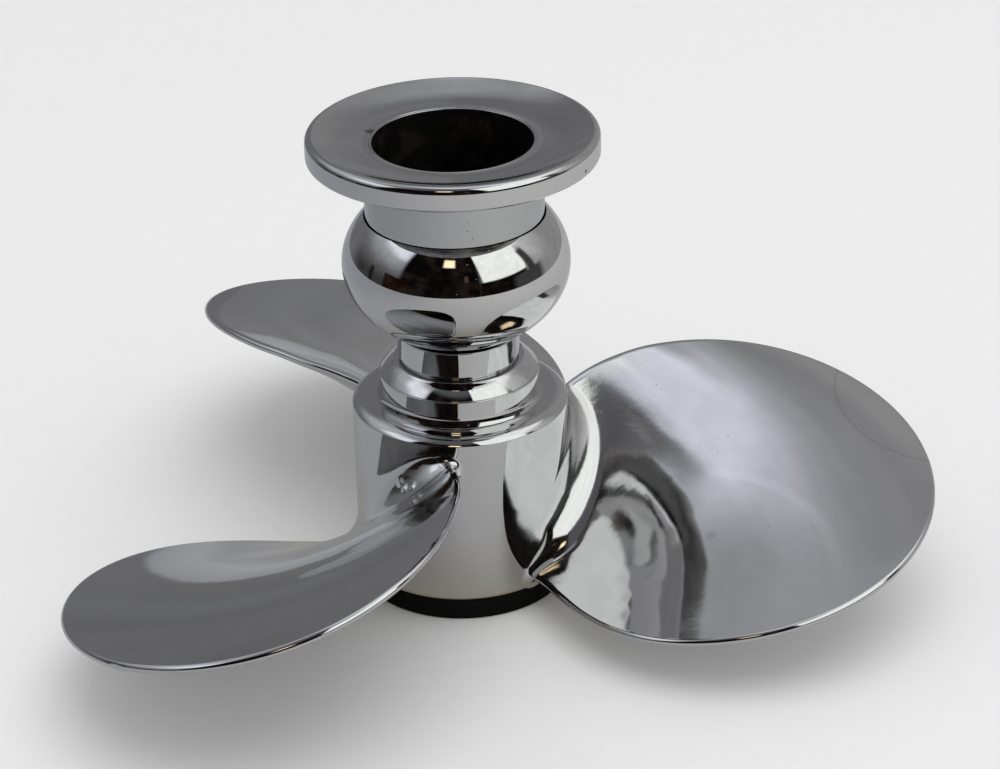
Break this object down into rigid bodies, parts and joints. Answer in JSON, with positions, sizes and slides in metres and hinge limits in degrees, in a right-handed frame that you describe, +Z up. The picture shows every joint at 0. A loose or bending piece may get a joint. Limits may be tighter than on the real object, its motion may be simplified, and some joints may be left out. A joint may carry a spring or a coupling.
{
  "type": "propeller candle holder",
  "caption": "Chrome candle holder: a boat propeller standing on its hub carries a turned stem with a ball, a dished drip pan and a candle bore.",
  "frame": {"origin": "centre of the pad's underside, on the hub axis", "axes": "+Z up along the hub and stem axis, towards the candle bore; +X passes through the tip of blade_1"},
  "size_m": [0.1151, 0.1236, 0.0683],
  "materials": {
    "chrome": "polished plating over a hand-finished casting",
    "cup_brass": "plated outside, tarnished bare metal inside the bore",
    "black_rubber": "matt",
    "plain_steel": "plain"
  },
  "bodies": {
    "root": {"base_pad": "black_rubber", "propeller_hub": "chrome", "blade_1": "chrome", "blade_2": "chrome", "blade_3": "chrome", "root_fillet_1": "chrome", "root_fillet_2": "chrome", "root_fillet_3": "chrome", "hub_sleeve": "plain_steel", "foot_ring": "chrome", "foot_cone": "chrome", "neck_spool": "chrome", "ball_knop": "chrome", "candle_cup": "cup_brass", "drip_pan": "chrome", "tie_rod": "plain_steel", "base_washer": "plain_steel", "spring_washer": "plain_steel", "base_nut": "plain_steel"}
  },
  "joints": []
}
